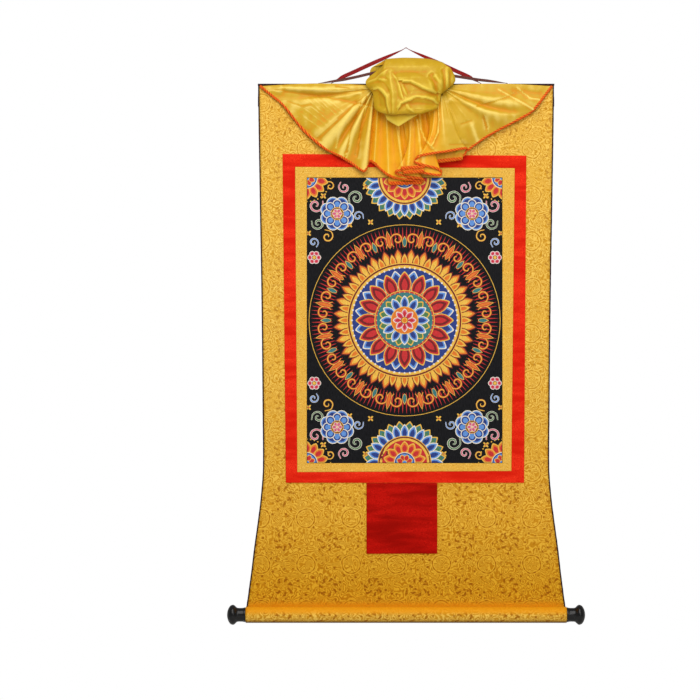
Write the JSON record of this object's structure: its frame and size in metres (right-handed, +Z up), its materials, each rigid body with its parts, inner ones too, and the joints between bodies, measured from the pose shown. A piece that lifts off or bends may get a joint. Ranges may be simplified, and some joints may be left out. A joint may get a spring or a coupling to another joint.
{
  "type": "thangka scroll painting with batten and roller",
  "caption": "Hanging scroll: bordered picture on gold brocade between a batten and a knobbed roller, silk cover gathered up at the top, ribbon loop for hanging.",
  "frame": {"origin": "where the hanging ribbon's peak rests on its nail, at the middle of the ribbon's underside", "axes": "+Z up, +X to the right as the viewer faces the picture, +Y back into the wall; the picture faces -Y"},
  "size_m": [0.5472, 0.063, 0.8829],
  "materials": {
    "batten_wood": "unvarnished softwood, mostly covered",
    "dark_binding": "matt near-black maroon cotton",
    "gold_brocade": "golden yellow damask with a satin sheen and tonal medallions",
    "dark_red_brocade": "deep red fine brocade, faintly ribbed",
    "gold_border": "golden yellow satin strip with small tonal figures",
    "maroon_ribbon": "dark red woven ribbon, satin",
    "black_knob": "turned wood, glossy black lacquer",
    "picture": "printed cotton canvas, satin, on a near-black ground",
    "red_brocade": "bright red fine brocade, faintly ribbed",
    "roller_wood": "plain turned softwood, covered by the cloth",
    "yellow_silk": "thin golden yellow silk satin"
  },
  "bodies": {
    "root": {"batten": "batten_wood", "batten_sleeve": "dark_binding", "binding_left": "dark_binding", "binding_right": "dark_binding", "brocade": "gold_brocade", "door_patch": "dark_red_brocade", "gold_border_bottom": "gold_border", "gold_border_left": "gold_border", "gold_border_right": "gold_border", "gold_border_top": "gold_border", "hanging_ribbon": "maroon_ribbon", "knob_left": "black_knob", "knob_right": "black_knob", "lower_ribbon": "maroon_ribbon", "picture_panel": "picture", "red_border_bottom": "red_brocade", "red_border_left": "red_brocade", "red_border_right": "red_brocade", "red_border_top": "red_brocade", "roller": "roller_wood", "silk_veil": "yellow_silk"}
  },
  "joints": []
}
